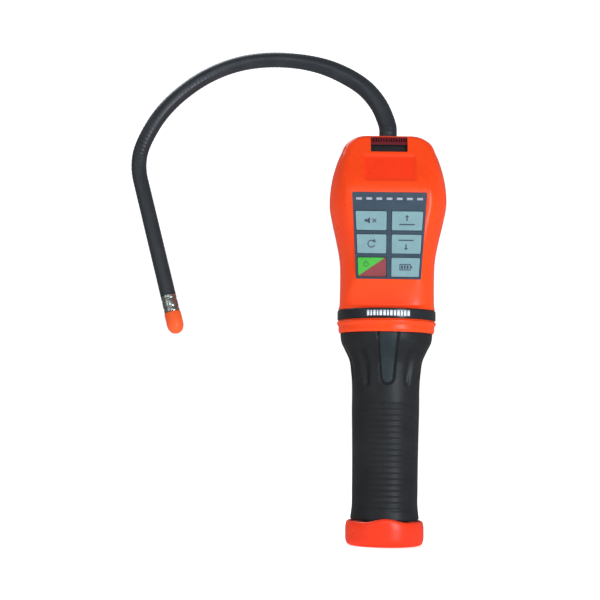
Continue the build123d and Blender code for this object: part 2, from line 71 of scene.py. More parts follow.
# Head outline, from the bottom up: height, half width, front, back, corner radius
HEAD_LEVELS = (
    (131.0, 26.6, 26.4, 26.4, 23.6),
    (146.0, 26.4, 26.8, 26.6, 23.4),
    (159.0, 26.8, 27.6, 27.2, 23.4),
    (170.0, 28.8, 28.8, 28.2, 24.0),
    (181.0, 31.3, 30.2, 29.4, 24.8),
    (190.5, 32.9, 31.2, 30.4, 25.6),
    (200.0, 32.4, 31.4, 30.6, 25.6),
    (210.0, 30.3, 30.4, 29.4, 24.6),
    (219.0, 27.0, 28.0, 26.6, 22.6),
    (226.0, 22.9, 24.0, 22.2, 18.8),
    (229.5, 17.6, 19.0, 17.2, 14.0),
)
PANEL_TILT = radians(5.5)
PANEL_FOOT = 20.0
CREASE_Z = 198.3
BROW_TILT = radians(26.0)
FACET_TURN = radians(42.0)
FACET_TAPER = radians(2.5)
FACET_HALF_WIDTH = 23.6
FACET_CUT = 0.6
PAD_BASE = 147.0
PAD_HEIGHT = 48.0
PAD_HALF_TOP = 20.7
PAD_HALF_BOTTOM = 18.0
PAD_RECESS = 0.8
PAD_LAND = 0.9
KEY_MARGIN = 1.4
KEY_HEIGHT = 10.5
KEY_HALF_GAP = 1.45
KEY_PROUD = 0.45
VENT_HALF_WIDTH = 10.0
NECK_Y = 2.0
GLAND_HOLE = 6.4
# Cover screws of one side: distance across, height, how far back the well opens
SCREW_SPOTS = ((23.0, 206.0, 22.0), (20.0, 140.0, 19.5))
SCREW_SEAT = 17.0
SCREW_BORE = 2.9
# Grip outline, from the bottom up: height, radius
GRIP_OUTLINE = (
    (14.2, 19.3), (21.0, 18.5), (32.0, 18.4), (72.0, 18.9), (96.0, 19.6),
    (103.0, 20.7), (108.5, 23.2), (112.7, 25.2), (117.9, 26.0),
)
RIB_PITCH = 3.2
RIB_BASE = 20.5
RIB_HALF_ANGLE = radians(52.0)
BAND_RADIUS = 27.7
KNUCKLE_HALF = 5.6            # half length of the knuckle on the cap's hinge pin
NECK_RADIUS = 4.35
BOOT_RADIUS = 5.1
BOOT_LENGTH = 45.0
BOOT_TAPER = 40.0
COLLAR_LENGTH = 9.9
TIP_RADIUS = 4.65
TIP_END = 21.8                # end of the guard, beyond the sleeve

# ---- Sizes of the visual model alone, in millimetres -----------------------
PARTING = 0.12                # width of the line between the two covers
# How far round each edge of the head is drawn
PANEL_REACH = 1.2
PANEL_FOOT_REACH = 7.0        # added to it towards the head's foot
PANEL_FOOT_HEIGHTS = (133.0, 150.0)
FACET_REACH = 1.0
CREASE_REACH = 3.5
TOP_REACH = 2.6
FOOT_REACH = 2.4
FOOT_RADIUS = 26.4            # the round rim on the head's foot
FOOT_RISE = 0.5
VENT_SLOTS = ((219.5, 224.2), (226.0, 228.2))
VENT_WELL = 1.0               # depth of the sunk frame round the two slots
LOUVRES = 14                  # ribs across the upper slot
# The hollow in the brow, and how far inside and outside its edge the painted shade in it fades
DISH_HALF_WIDTH = 14.2
DISH_HEIGHTS = (202.0, 217.0)
DISH_DEPTH = 0.75
DISH_RIM = 1.3                # half width of the hollow's soft edge
DISH_FADE_IN = 1.0
DISH_FADE_OUT = 1.4
DISH_FADE_TOP = 1.2
TICK_WIDTHS = (1.4, 1.0, 1.4, 0.9, 1.5, 1.5, 1.0, 1.5, 1.3, 1.5, 1.1, 1.5, 1.5)
TICK_GAP = 0.6
TICK_HEIGHT = 3.0
INK_LIFT = 0.03               # how far print stands off the band
RIB_COUNT = 19
RIB_DEPTH = 0.34
WORN_SHARE = 0.4              # share of the ribs' depth that is left on the handle's left
WORN_TURNS = (-0.5, -0.15)    # where the depth changes, in radians off the front
TAB_RISE = 2.1                # rise of the thumb tab above the cap's rim
TAB_HALF_ANGLE = 0.62
TAB_FOOT = 9.3                # height on the cap where the tab starts to rise
TAB_BLEND = 4.0
CORE_PRINT = 0.045            # height of the wound core's print through the sleeve
CORE_PITCH = 2.4
TIP_NOSE = 5.4                # length of the guard's rounded end

# The tongue that runs down the grip's front from the collar, outlined by grooves
TONGUE_FOOT = 90.3
TONGUE_HALF = 3.0
TONGUE_FLARE = 0.085          # how much wider the tongue gets for each unit it rises
TONGUE_GROOVE = 0.95
# Hollows round the flare: angle off the front, half angle, depth, foot and head heights
HOLLOWS = (
    (36.0, 13.0, 1.5, 87.0, 112.0),
    (72.0, 13.0, 0.8, 90.0, 113.0),
    (108.0, 13.0, 0.8, 90.0, 113.0),
    (144.0, 13.0, 0.9, 88.0, 113.0),
)

CAMERA_ROLL = 0.85
FRAME_WIDTH = 0.340           # width of the view at the object, in metres


# ---- Materials -------------------------------------------------------------
ORANGE = (0.95, 0.066, 0.009)
ORANGE_DEEP = (0.93, 0.057, 0.008)


class Shader:
    """A node material being put together, with short ways to add its nodes."""

    def __init__(self, name):
        self.material = bpy.data.materials.new(name)
        self.material.use_nodes = True
        self.tree = self.material.node_tree
        self.base = self.tree.nodes["Principled BSDF"]
        self.place = self.tree.nodes.new("ShaderNodeTexCoord").outputs["Object"]

    def set(self, **values):
        for name, value in values.items():
            self.base.inputs[name.replace("_", " ")].default_value = value
        return self

    def link(self, source, target):
        self.tree.links.new(source, target)

    def axes(self):
        """Object coordinates as three outputs, X, Y and Z."""
        parts = self.tree.nodes.new("ShaderNodeSeparateXYZ")
        self.link(self.place, parts.inputs["Vector"])
        return parts.outputs

    def scaled(self, scale):
        """Object coordinates, stretched by a factor along each axis."""
        mapping = self.tree.nodes.new("ShaderNodeMapping")
        mapping.inputs["Scale"].default_value = scale
        self.link(self.place, mapping.inputs["Vector"])
        return mapping.outputs["Vector"]

    def noise(self, scale, detail=3.0, rough=0.5, vector=None):
        node = self.tree.nodes.new("ShaderNodeTexNoise")
        node.inputs["Scale"].default_value = scale
        node.inputs["Detail"].default_value = detail
        node.inputs["Roughness"].default_value = rough
        self.link(vector or self.place, node.inputs["Vector"])
        return node.outputs["Fac"]

    def voronoi(self, scale, feature="F1"):
        node = self.tree.nodes.new("ShaderNodeTexVoronoi")
        node.feature = feature
        node.inputs["Scale"].default_value = scale
        self.link(self.place, node.inputs["Vector"])
        return node.outputs["Distance"]

    def math(self, operation, first, second=0.0):
        node = self.tree.nodes.new("ShaderNodeMath")
        node.operation = operation
        for socket, value in zip(node.inputs, (first, second)):
            if isinstance(value, (int, float)):
                socket.default_value = value
            else:
                self.link(value, socket)
        return node.outputs["Value"]

    def ramp(self, value, low, high, out_low, out_high):
        node = self.tree.nodes.new("ShaderNodeMapRange")
        node.inputs["From Min"].default_value = low
        node.inputs["From Max"].default_value = high
        node.inputs["To Min"].default_value = out_low
        node.inputs["To Max"].default_value = out_high
        self.link(value, node.inputs["Value"])
        return node.outputs["Result"]

    def mix(self, factor, first, second):
        node = self.tree.nodes.new("ShaderNodeMix")
        node.data_type = "RGBA"
        self.link(factor, node.inputs["Factor"])
        for socket, value in ((node.inputs["A"], first), (node.inputs["B"], second)):
            if isinstance(value, tuple):
                socket.default_value = (*value, 1.0)
            else:
                self.link(value, socket)
        return node.outputs["Result"]

    def colour(self, output):
        self.link(output, self.base.inputs["Base Color"])

    def roughness(self, output):
        self.link(output, self.base.inputs["Roughness"])

    def bump(self, height, distance, strength=1.0):
        node = self.tree.nodes.new("ShaderNodeBump")
        node.inputs["Distance"].default_value = distance
        node.inputs["Strength"].default_value = strength
        self.link(height, node.inputs["Height"])
        self.link(node.outputs["Normal"], self.base.inputs["Normal"])


def dish_shade_mask(s):
    """Mask of the painted shade in the brow's hollow: 1 inside the hollow, fading to 0 at its rim."""
    at = s.axes()
    half = DISH_HALF_WIDTH * MM
    low, high = (z * MM for z in DISH_HEIGHTS)
    fade_in, fade_out, fade_top = (c * MM for c in (DISH_FADE_IN, DISH_FADE_OUT, DISH_FADE_TOP))
    across = s.ramp(s.math("ABSOLUTE", at["X"]), half - fade_in, half + fade_out, 1.0, 0.0)
    above = s.ramp(at["Z"], low - fade_out, low + fade_in, 0.0, 1.0)
    below = s.ramp(at["Z"], high - fade_in, high + fade_top, 1.0, 0.0)
    return s.math("MULTIPLY", across, s.math("MULTIPLY", above, below))


def moulded(name, colour, deep, rough, coat=0.0, gloss=0.35, dish_shade=None):
    """Moulded plastic: a slight drift of colour, fine spark-eroded grain and rubbed patches, and, when a
    dish shade is given, a deeper red painted as shade in the brow's hollow.
    """
    s = Shader(name).set(Coat_Weight=coat, Coat_Roughness=0.25, Specular_IOR_Level=gloss)
    drift = s.ramp(s.noise(28.0, 4.0, 0.6), 0.35, 0.65, 0.0, 1.0)
    tint = s.mix(drift, colour, deep)
    # A deeper red painted into the brow's hollow as its shade.
    if dish_shade:
        tint = s.mix(dish_shade_mask(s), tint, dish_shade)
    s.colour(tint)
    rubbed = s.noise(70.0, 5.0, 0.65)
    s.roughness(s.ramp(rubbed, 0.3, 0.7, rough - 0.06, rough + 0.07))
    s.bump(s.noise(2600.0, 2.0, 0.5), 0.00002)
    return s.material


def make_rubber(name, colour):
    """Grip rubber: matt, nearly black, with a pebbled skin and paler handled patches."""
    s = Shader(name).set(Specular_IOR_Level=0.20)
    handled = s.ramp(s.noise(38.0, 5.0, 0.6), 0.42, 0.72, 0.0, 1.0)
    s.colour(s.mix(handled, colour, tuple(c * 1.5 for c in colour)))
    s.roughness(s.ramp(s.noise(90.0, 4.0), 0.3, 0.7, 0.36, 0.48))
    pebble = s.math("ADD", s.voronoi(1500.0), s.noise(700.0, 3.0))
    s.bump(pebble, 0.00004, 0.7)
    return s.material


def make_sleeve():
    """Satin neck sleeve: soft plastic over a wound steel core, dusty in places."""
    s = Shader("neck_sleeve").set(Specular_IOR_Level=0.36)
    dust = s.ramp(s.noise(60.0, 5.0, 0.65), 0.5, 0.8, 0.0, 1.0)
    s.colour(s.mix(dust, (0.0220, 0.0255, 0.0305), (0.037, 0.041, 0.048)))
    s.roughness(s.ramp(s.noise(150.0, 4.0), 0.3, 0.7, 0.30, 0.42))
    s.bump(s.noise(1500.0, 3.0), 0.00003)
    return s.material


def make_metal(name, colour, rough, scratch_scale=(600, 600, 90)):
    """Plated metal with fine drawn scratches."""
    s = Shader(name).set(Metallic=1.0)
    lines = s.noise(1.0, 4.0, 0.6, s.scaled(scratch_scale))
    s.colour(s.mix(s.ramp(lines, 0.3, 0.7, 0.0, 1.0), colour, tuple(c * 0.82 for c in colour)))
    s.roughness(s.ramp(lines, 0.3, 0.7, rough - 0.07, rough + 0.09))
    s.bump(lines, 0.00001)
    return s.material


def film_skin(s, rough=0.38):
    """Gives a film its uneven gloss and orange-peel skin; returns its faint mottling."""
    s.roughness(s.ramp(s.noise(240.0, 3.0), 0.3, 0.7, rough - 0.06, rough + 0.08))
    s.bump(s.noise(900.0, 2.0), 0.000012)
    return s.ramp(s.noise(160.0, 5.0, 0.7), 0.3, 0.7, 0.0, 1.0)


def make_film(name, colour, other, rough=0.38):
    """Printed polyester film over the keypad."""
    s = Shader(name).set(Specular_IOR_Level=0.35)
    s.colour(s.mix(film_skin(s, rough), colour, other))
    return s.material


def make_power_film(centre, green, red):
    """The power key's print: split from its lower left to its upper right corner."""
    s = Shader("power_film").set(Specular_IOR_Level=0.5, Coat_Weight=0.1, Coat_Roughness=0.2)
    at = s.axes()
    across = s.math("SUBTRACT", at["X"], centre[0])
    up = s.math("SUBTRACT", at["Z"], centre[2])
    slope = KEY_HEIGHT / (PAD_HALF_BOTTOM - KEY_MARGIN - KEY_HALF_GAP)
    above = s.math("SUBTRACT", up, s.math("MULTIPLY", across, slope))
    side = s.ramp(above, -0.00008, 0.00008, 0.0, 1.0)
    mottle = film_skin(s)
    greens = s.mix(mottle, green, tuple(c * 0.85 for c in green))
    reds = s.mix(mottle, red, tuple(c * 0.85 for c in red))
    s.colour(s.mix(side, reds, greens))
    return s.material


def make_board():
    """Circuit board: green mask over faint straight tracks."""
    s = Shader("circuit_board").set(Coat_Weight=0.3, Coat_Roughness=0.15)
    tracks = s.noise(1.0, 1.0, 0.5, s.scaled((900, 900, 120)))
    s.colour(s.mix(s.ramp(tracks, 0.52, 0.56, 0.0, 1.0), (0.010, 0.085, 0.035), (0.03, 0.16, 0.07)))
    s.roughness(s.ramp(s.noise(300.0), 0.3, 0.7, 0.3, 0.45))
    s.bump(tracks, 0.00003)
    return s.material


def make_floor():
    """Pale paper, softly lit from behind so that it stays white."""
    s = Shader("studio_floor").set(Specular_IOR_Level=0.0, Emission_Strength=0.60)
    s.base.inputs["Emission Color"].default_value = (1.0, 1.0, 1.0, 1.0)
    s.colour(s.mix(s.noise(3.0), (0.90, 0.90, 0.90), (0.93, 0.93, 0.93)))
    s.roughness(s.ramp(s.noise(6.0), 0.3, 0.7, 0.75, 0.85))
    return s.material


orange = moulded("orange_abs", ORANGE, ORANGE_DEEP, 0.30, gloss=0.24)
# The front cover's orange, with painted shade: a deeper red in the brow's hollow.
orange_front_dish_shade = moulded("orange_front_dish_shade", ORANGE, ORANGE_DEEP, 0.30, gloss=0.24,
                       dish_shade=(0.93, 0.042, 0.009))
# A deeper copy of the body's orange for the cap and its knuckle: painted shade, so that the cap reads
# darker than the body.
orange_cap_shaded = moulded("orange_cap_shaded", (0.92, 0.046, 0.012), (0.90, 0.040, 0.010), 0.30, gloss=0.24)
orange_guard = moulded("orange_guard", (0.90, 0.115, 0.024), (0.86, 0.095, 0.018), 0.42, gloss=0.25)
black_plastic = moulded("black_plastic", (0.014, 0.014, 0.015), (0.020, 0.020, 0.022), 0.5)
band_black = moulded("band_black", (0.013, 0.014, 0.017), (0.018, 0.019, 0.023), 0.3)
# Dark maroon painted as the shade in the vent's sunk frame, upper slot walls and louvres.
vent_painted_shade = moulded("vent_painted_shade", (0.15, 0.014, 0.020), (0.12, 0.010, 0.016), 0.5, gloss=0.2)
white_print = moulded("white_print", (0.80, 0.83, 0.88), (0.70, 0.73, 0.80), 0.45)
navy_print = moulded("navy_print", (0.030, 0.045, 0.075), (0.045, 0.060, 0.095), 0.42)
lens = moulded("led_lens", (0.42, 0.42, 0.49), (0.34, 0.34, 0.41), 0.25, coat=0.4)
dark_green = moulded("dark_green", (0.012, 0.16, 0.02), (0.010, 0.13, 0.018), 0.42)
chip_black = moulded("chip_black", (0.020, 0.020, 0.022), (0.028, 0.028, 0.030), 0.55)
copper_wound = make_metal("copper_wound", (0.72, 0.30, 0.14), 0.35, (2500, 60, 2500))
lead_red = moulded("lead_red", (0.45, 0.015, 0.012), (0.38, 0.012, 0.010), 0.4)
cell_jacket = moulded("cell_jacket", (0.10, 0.10, 0.11), (0.14, 0.14, 0.15), 0.28, coat=0.4)
rubber = make_rubber("grip_rubber", (0.0155, 0.0160, 0.0175))
# A lighter, bluish copy of the grip rubber: a sheen painted on the tongue.
rubber_tongue_sheen = make_rubber("tongue_rubber_sheen", (0.0205, 0.0285, 0.0330))
sleeve_black = make_sleeve()
nickel = make_metal("nickel", (0.42, 0.45, 0.42), 0.26)
steel = make_metal("steel", (0.50, 0.50, 0.51), 0.34)
alloy = make_metal("alloy", (0.55, 0.56, 0.58), 0.38, (90, 90, 900))
pad_film = make_film("pad_film", (0.036, 0.062, 0.090), (0.027, 0.048, 0.074))
key_film = make_film("key_film", (0.175, 0.300, 0.322), (0.205, 0.335, 0.362))
board = make_board()
kapton = make_film("ribbon_film", (0.55, 0.22, 0.03), (0.48, 0.18, 0.02), 0.3)


# ---- Mesh helpers ----------------------------------------------------------
def add_mesh(name, points, faces, material, body=None, smooth_angle=35.0):
    """A mesh object from points in millimetres, smooth except at real edges."""
    mesh = bpy.data.meshes.new(name)
    mesh.from_pydata([tuple(c * MM for c in p) for p in points], [], faces)
    mesh.validate()
    mesh.update()
    obj = bpy.data.objects.new(name, mesh)
    bpy.context.scene.collection.objects.link(obj)
    mesh.materials.append(material)
    smooth(obj, smooth_angle)
    if body:
        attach(obj, body)
    return obj


def smooth(obj, angle):
    obj.data.polygons.foreach_set("use_smooth", [True] * len(obj.data.polygons))
    obj.data.set_sharp_from_angle(angle=radians(angle))


def grid_faces(rows, columns, closed=True):
    """Quads over rows of points; closed joins each row's end to its start."""
    faces = []
    last = columns if closed else columns - 1
    for i in range(rows - 1):
        for j in range(last):
            k = (j + 1) % columns
            low, high = i * columns, (i + 1) * columns
            faces.append((low + j, low + k, high + k, high + j))
    return faces


def closing_faces(rows, columns):
    """Quads that join the last row of points back to the first."""
    last = (rows - 1) * columns
    return [(last + k, last + (k + 1) % columns, (k + 1) % columns, k) for k in range(columns)]


def turned(name, profile, material, place=Matrix.Identity(4), segments=160,
           body=None, angle=35.0):
    """A solid turned about the local Z axis from (radius, height) points in millimetres."""
    points = []
    for radius, height in profile:
        for k in range(segments):
            turn = 2 * pi * k / segments
            points.append(place @ Vector((radius * cos(turn), radius * sin(turn), height)))
    faces = grid_faces(len(profile), segments)
    if profile[0][0] > 0:
        faces += closing_faces(len(profile), segments)
    obj = add_mesh(name, points, faces, material, body, angle)
    merge(obj)
    smooth(obj, angle)
    return obj


def merge(obj, distance=0.000001):
    """Joins points that coincide, such as those on the turning axis, and turns faces outwards."""
    shape = bmesh.new()
    shape.from_mesh(obj.data)
    bmesh.ops.remove_doubles(shape, verts=shape.verts, dist=distance)
    bmesh.ops.recalc_face_normals(shape, faces=shape.faces)
    shape.to_mesh(obj.data)
    shape.free()


def curve(start, corner, end, steps):
    """Points along the quadratic curve that leaves start for a corner and turns to end."""
    points = []
    for k in range(steps + 1):
        t = k / steps
        points.append(start * (1 - t) ** 2 + corner * 2 * t * (1 - t) + end * t * t)
    return points


def round_off(before, corner, after, radius, steps):
    """A curve in place of a corner, taking up less than half of each side."""
    a, b, c = Vector(before), Vector(corner), Vector(after)
    reach = min(radius, (a - b).length * 0.45, (c - b).length * 0.45)
    start = b + (a - b).normalized() * reach
    end = b + (c - b).normalized() * reach
    return [tuple(point) for point in curve(start, b, end, steps)]


def rounded(corners, radius, steps=5):
    """A polyline with its inner corners rounded."""
    out = [corners[0]]
    for before, corner, after in zip(corners, corners[1:], corners[2:]):
        out += round_off(before, corner, after, radius, steps)
    return out + [corners[-1]]


def round_outline(corners, radius, steps=6):
    """A closed outline with rounded corners."""
    out = []
    for k, corner in enumerate(corners):
        after = corners[(k + 1) % len(corners)]
        out += round_off(corners[k - 1], corner, after, radius, steps)
    return out


def apply_modifiers(obj):
    """Replaces a mesh by what its modifiers make of it."""
    graph = bpy.context.evaluated_depsgraph_get()
    made = bpy.data.meshes.new_from_object(obj.evaluated_get(graph))
    obj.modifiers.clear()
    obj.data = made


def cut(obj, *cutters):
    """Subtracts closed meshes from a piece, for good."""
    for cutter in cutters:
        modifier = obj.modifiers.new("cut", "BOOLEAN")
        modifier.operation = "DIFFERENCE"
        modifier.solver = "EXACT"
        modifier.material_mode = "TRANSFER"
        modifier.object = cutter
    apply_modifiers(obj)
    for cutter in cutters:
        bpy.data.objects.remove(cutter)


def prism(name, outline, low, high, plane, material=None):
    """A closed prism over an outline in a plane's x and y, between two heights off it."""
    count = len(outline)
    points = [plane @ Vector((x, y, z)) for z in (low, high) for x, y in outline]
    faces = [tuple(range(count))[::-1], tuple(range(count, 2 * count))]
    faces += [(k, (k + 1) % count, count + (k + 1) % count, count + k) for k in range(count)]
    obj = add_mesh(name, points, faces, material or black_plastic)
    merge(obj)
    return obj


def face_plane(z, depth, tilt):
    """Matrix of a front face: x across, y up the face, z out of it."""
    out = Vector((0, -cos(tilt), -sin(tilt)))
    across = Vector((1, 0, 0))
    up = out.cross(across)
    turn = Matrix((across, up, out)).transposed().to_4x4()
    return Matrix.Translation((0, -depth, z)) @ turn


def panel_depth(z):
    return PANEL_FOOT + (z - HEAD_BASE) * tan(PANEL_TILT)


def brow_height(z):
    """How far up the sloping brow a height is."""
    return (z - CREASE_Z) / cos(BROW_TILT)


PANEL = face_plane(PAD_BASE, panel_depth(PAD_BASE), PANEL_TILT)
BROW = face_plane(CREASE_Z, panel_depth(CREASE_Z), -BROW_TILT)


# ---- Head covers -----------------------------------------------------------
def step(value, low, high):
    """Smooth rise from 0 at low to 1 at high."""
    t = np.clip((value - low) / (high - low), 0, 1)
    return t * t * (3 - 2 * t)


def smooth_max(a, b, reach):
    """The larger of two fields, rounded where they meet."""
    blend = np.maximum(reach - np.abs(a - b), 0.0) / reach
    return np.maximum(a, b) + blend * blend * reach / 4


def smooth_min(a, b, reach):
    return -smooth_max(-a, -b, reach)


def between(levels, z):
    """Smooth values between the rows of a table of levels, by Hermite curves."""
    table = np.array(levels, float)
    heights = table[:, 0]
    slopes = np.gradient(table, heights, axis=0)
    z = np.clip(z, heights[0], heights[-1])
    k = np.clip(np.searchsorted(heights, z) - 1, 0, len(heights) - 2)
    span = heights[k + 1] - heights[k]
    t = ((z - heights[k]) / span)[..., None]
    a, b = table[k], table[k + 1]
    va, vb = slopes[k] * span[..., None], slopes[k + 1] * span[..., None]
    value = a * (2 * t**3 - 3 * t**2 + 1) + va * (t**3 - 2 * t**2 + t)
    return value + b * (3 * t**2 - 2 * t**3) + vb * (t**3 - t**2)


def off_plane(plane, p):
    """Height of points off a plane, with their place across and up it."""
    inverse = np.array(plane.inverted())
    local = p @ inverse[:3, :3].T + inverse[:3, 3]
    return local[..., 2], local[..., 0], local[..., 1]


def head_field(p):
    """Negative inside the head, positive outside it: rounded sections cut by the front faces."""
    x, y, z = p[..., 0], p[..., 1], p[..., 2]
    level = between(HEAD_LEVELS, z)
    half, front, back, corner = (level[..., k] for k in range(1, 5))
    qx = np.abs(x) - (half - corner)
    qy = np.abs(y - (back - front) / 2) - ((front + back) / 2 - corner)
    body = np.hypot(np.maximum(qx, 0), np.maximum(qy, 0)) + np.minimum(np.maximum(qx, qy), 0) - corner
    panel, _, _ = off_plane(PANEL, p)
    brow, across, up = off_plane(BROW, p)
    field = smooth_max(body, panel, PANEL_REACH + PANEL_FOOT_REACH * (1 - step(z, *PANEL_FOOT_HEIGHTS)))
    for side in (-1, 1):
        turn = Matrix.Rotation(-side * FACET_TAPER, 4, "Z") @ Matrix.Rotation(side * FACET_TURN, 4, "Y")
        facet = PANEL @ Matrix.Translation((side * FACET_HALF_WIDTH, 0, -FACET_CUT)) @ turn
        field = smooth_max(field, off_plane(facet, p)[0], FACET_REACH)
    field = smooth_max(field, brow + dish(across, up), CREASE_REACH)
    field = smooth_max(field, z - HEAD_TOP, TOP_REACH)
    foot = np.maximum(np.hypot(x, y) - FOOT_RADIUS, z - HEAD_BASE - FOOT_RISE)
    return smooth_min(field, foot, FOOT_REACH)


def dish(across, up):
    """A shallow rounded-square hollow in the brow, under the sound vent."""
    bottom, top = (brow_height(z) for z in DISH_HEIGHTS)
    beyond = np.abs(up - (top + bottom) / 2) - (top - bottom) / 2
    outside = np.maximum(np.abs(across) - DISH_HALF_WIDTH, beyond)
    return DISH_DEPTH * (1 - step(outside, -DISH_RIM, DISH_RIM))


def cast(origins, directions, reach=60.0):
    """Distance along each ray to the head's surface, by bisection."""
    near = np.zeros(origins.shape[:-1])
    far = np.full(near.shape, reach)
    for _ in range(36):
        middle = (near + far) / 2
        outside = head_field(origins + directions * middle[..., None]) > 0
        far = np.where(outside, middle, far)
        near = np.where(outside, near, middle)
    return (near + far) / 2


def head_skin():
    """The head's outer surface as a grid: level rings, then rings that fan over the top."""
    columns = 400
    fan_z = 188.0
    levels = np.linspace(HEAD_BASE, fan_z, 96)
    highest = atan2(HEAD_TOP - fan_z, GLAND_HOLE)
    rises = np.linspace(0, highest, 110)[1:]
    turns = np.linspace(0, 2 * pi, columns, endpoint=False)
    heights = np.concatenate([levels, np.full(len(rises), fan_z)])
    lifts = np.concatenate([np.zeros(len(levels)), rises])
    directions = np.stack([
        np.cos(turns)[None, :] * np.cos(lifts)[:, None],
        np.sin(turns)[None, :] * np.cos(lifts)[:, None],
        np.repeat(np.sin(lifts)[:, None], columns, axis=1),
    ], axis=-1)
    origins = np.zeros_like(directions)
    origins[..., 1] = NECK_Y
    origins[..., 2] = heights[:, None]
    points = origins + directions * cast(origins, directions)[..., None]
    return points.reshape(-1, 3), grid_faces(len(heights), columns)


def cover(name, points, faces, keep_front, material):
    """One cover: the skin on its side of the parting line, given the wall's thickness."""
    obj = add_mesh(name, points, faces, material)
    merge(obj)
    shape = bmesh.new()
    shape.from_mesh(obj.data)
    side = -1 if keep_front else 1
    bmesh.ops.bisect_plane(
        shape, geom=shape.verts[:] + shape.edges[:] + shape.faces[:], dist=1e-7,
        plane_co=(0, (SPLIT_Y + side * PARTING / 2) * MM, 0), plane_no=(0, 1, 0),
        clear_outer=keep_front, clear_inner=not keep_front)
    shape.to_mesh(obj.data)
    shape.free()
    solid = obj.modifiers.new("wall", "SOLIDIFY")
    solid.thickness = WALL * MM
    solid.offset = -1
    apply_modifiers(obj)
    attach(obj, "housing")
    return obj


def pad_corners(inset):
    """The keypad's outline on its panel, drawn in by an inset."""
    low, high = PAD_HALF_BOTTOM - inset, PAD_HALF_TOP - inset
    return [(-low, inset), (low, inset), (high, PAD_HEIGHT - inset), (-high, PAD_HEIGHT - inset)]


def box_outline(half, low, high, corner):
    return round_outline([(-half, low), (half, low), (half, high), (-half, high)], corner)


def vent_cutters():
    """The sunk frame round the vent, and the two slots through its floor. Their cut faces carry painted
    shade: dark maroon in the frame and the upper slot, black in the lower slot.
    """
    low, high = VENT_SLOTS[0][0] - 0.3, VENT_SLOTS[1][1] + 0.2
    well = box_outline(VENT_HALF_WIDTH + 0.3, brow_height(low), brow_height(high), 0.8)
    yield prism("vent_well", well, -VENT_WELL, 12, BROW, vent_painted_shade)
    # The slot walls take painted shade: black in the lower slot, dark maroon in the upper.
    for (low, high), wall in zip(VENT_SLOTS, (black_plastic, vent_painted_shade)):
        slot = box_outline(VENT_HALF_WIDTH, brow_height(low), brow_height(high), 0.6)
        yield prism("vent_cut", slot, -12, 12, BROW, wall)


def make_louvres():
    """Short upright ribs across the vent's upper slot, in the vent's dark maroon painted shade."""
    low, high = (brow_height(z) for z in VENT_SLOTS[1])
    pitch = 2 * VENT_HALF_WIDTH / LOUVRES
    for k in range(LOUVRES):
        left = pitch * (k + 0.2) - VENT_HALF_WIDTH
        outline = box_outline(pitch * 0.3, low - 0.2, high + 0.2, 0.1)
        place = BROW @ Matrix.Translation((left + pitch * 0.3, 0, 0))
        rib = prism(f"vent_rib_{k + 1}", outline, -VENT_WELL - 1.1, -VENT_WELL - 0.1, place, vent_painted_shade)
        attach(rib, "housing")


def make_front_cover(points, faces):
    """The front cover, with the keypad's recess and window and the sound vent."""
    obj = cover("front_cover_skin", points, faces, True, orange_front_dish_shade)
    recess = prism("recess", round_outline(pad_corners(0), 0.8), -PAD_RECESS, 10, PANEL, orange)
    window = prism("window", round_outline(pad_corners(PAD_LAND), 0.6), -10, 5, PANEL, orange)
    cut(obj, recess, window, *vent_cutters())
    finish_cover(obj)
    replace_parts(obj, "front_cover")


def finish_cover(obj):
    """Takes the sharpness off a cover's cut edges."""
    bevel = obj.modifiers.new("edge", "BEVEL")
    bevel.width = 0.00022
    bevel.segments = 2
    bevel.limit_method = "ANGLE"
    bevel.angle_limit = radians(50)
    bevel.use_clamp_overlap = True
    apply_modifiers(obj)
    smooth(obj, 32.0)


def make_rear_cover(points, faces):
    """The rear cover, with a well round each screw head."""
    obj = cover("rear_cover_skin", points, faces, False, orange)
    across_y = Matrix.Rotation(radians(-90), 4, "X")
    circle = [(SCREW_BORE * cos(a), SCREW_BORE * sin(a)) for a in np.linspace(0, 2 * pi, 40)[:-1]]
    hole, wall, floor = 1.7, 4.0, SCREW_SEAT - 1
    cutters = []
    for side in (-1, 1):
        for x, z, mouth in SCREW_SPOTS:
            place = Matrix.Translation((side * x, 0, z)) @ across_y
            cutters.append(prism("bore", circle, SCREW_SEAT, 60, place, orange))
            well = [(hole, floor), (wall, floor), (wall, mouth), (SCREW_BORE, mouth),
                    (SCREW_BORE, SCREW_SEAT), (hole, SCREW_SEAT)]
            turned(f"screw_well_{'lr'[side > 0]}_{int(z)}", well, orange, place, 48,
                   "housing")
    cut(obj, *cutters)
    finish_cover(obj)
    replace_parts(obj, "rear_cover")


# ---- Collar, band, grip and cap --------------------------------------------
def make_collar():
    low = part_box("collar_ring")[0].z / MM
    inner = 25.4
    lip = low + 5.8
    corners = [(inner, low), (26.4, low), (27.0, low + 1.2), (27.0, lip - 1.9), (27.9, lip - 0.5),
               (27.9, lip + 0.3), (27.1, lip + 1.0), (27.1, low + 7.15), (inner, low + 7.15)]
    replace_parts(turned("collar_ring_skin", rounded(corners, 0.45), orange, segments=256,
                       body="housing"), "collar_ring")


def make_band():
    """The black band, with a row of plain ticks in place of print."""
    low, high = (corner.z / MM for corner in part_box("label_band"))
    corners = [(25.4, low), (27.5, low), (BAND_RADIUS, low + 0.4), (BAND_RADIUS, high - 0.5),
               (27.3, high), (25.4, high)]
    band = turned("label_band_skin", rounded(corners, 0.3), band_black, segments=256,
                  body="housing")
    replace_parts(band, "label_band")
    middle = (low + high) / 2
    start = -sum(TICK_WIDTHS) / 2 - TICK_GAP * (len(TICK_WIDTHS) - 1) / 2
    for k, width in enumerate(TICK_WIDTHS):
        tick(f"band_tick_{k + 1}", start, start + width, middle)
        start += width + TICK_GAP


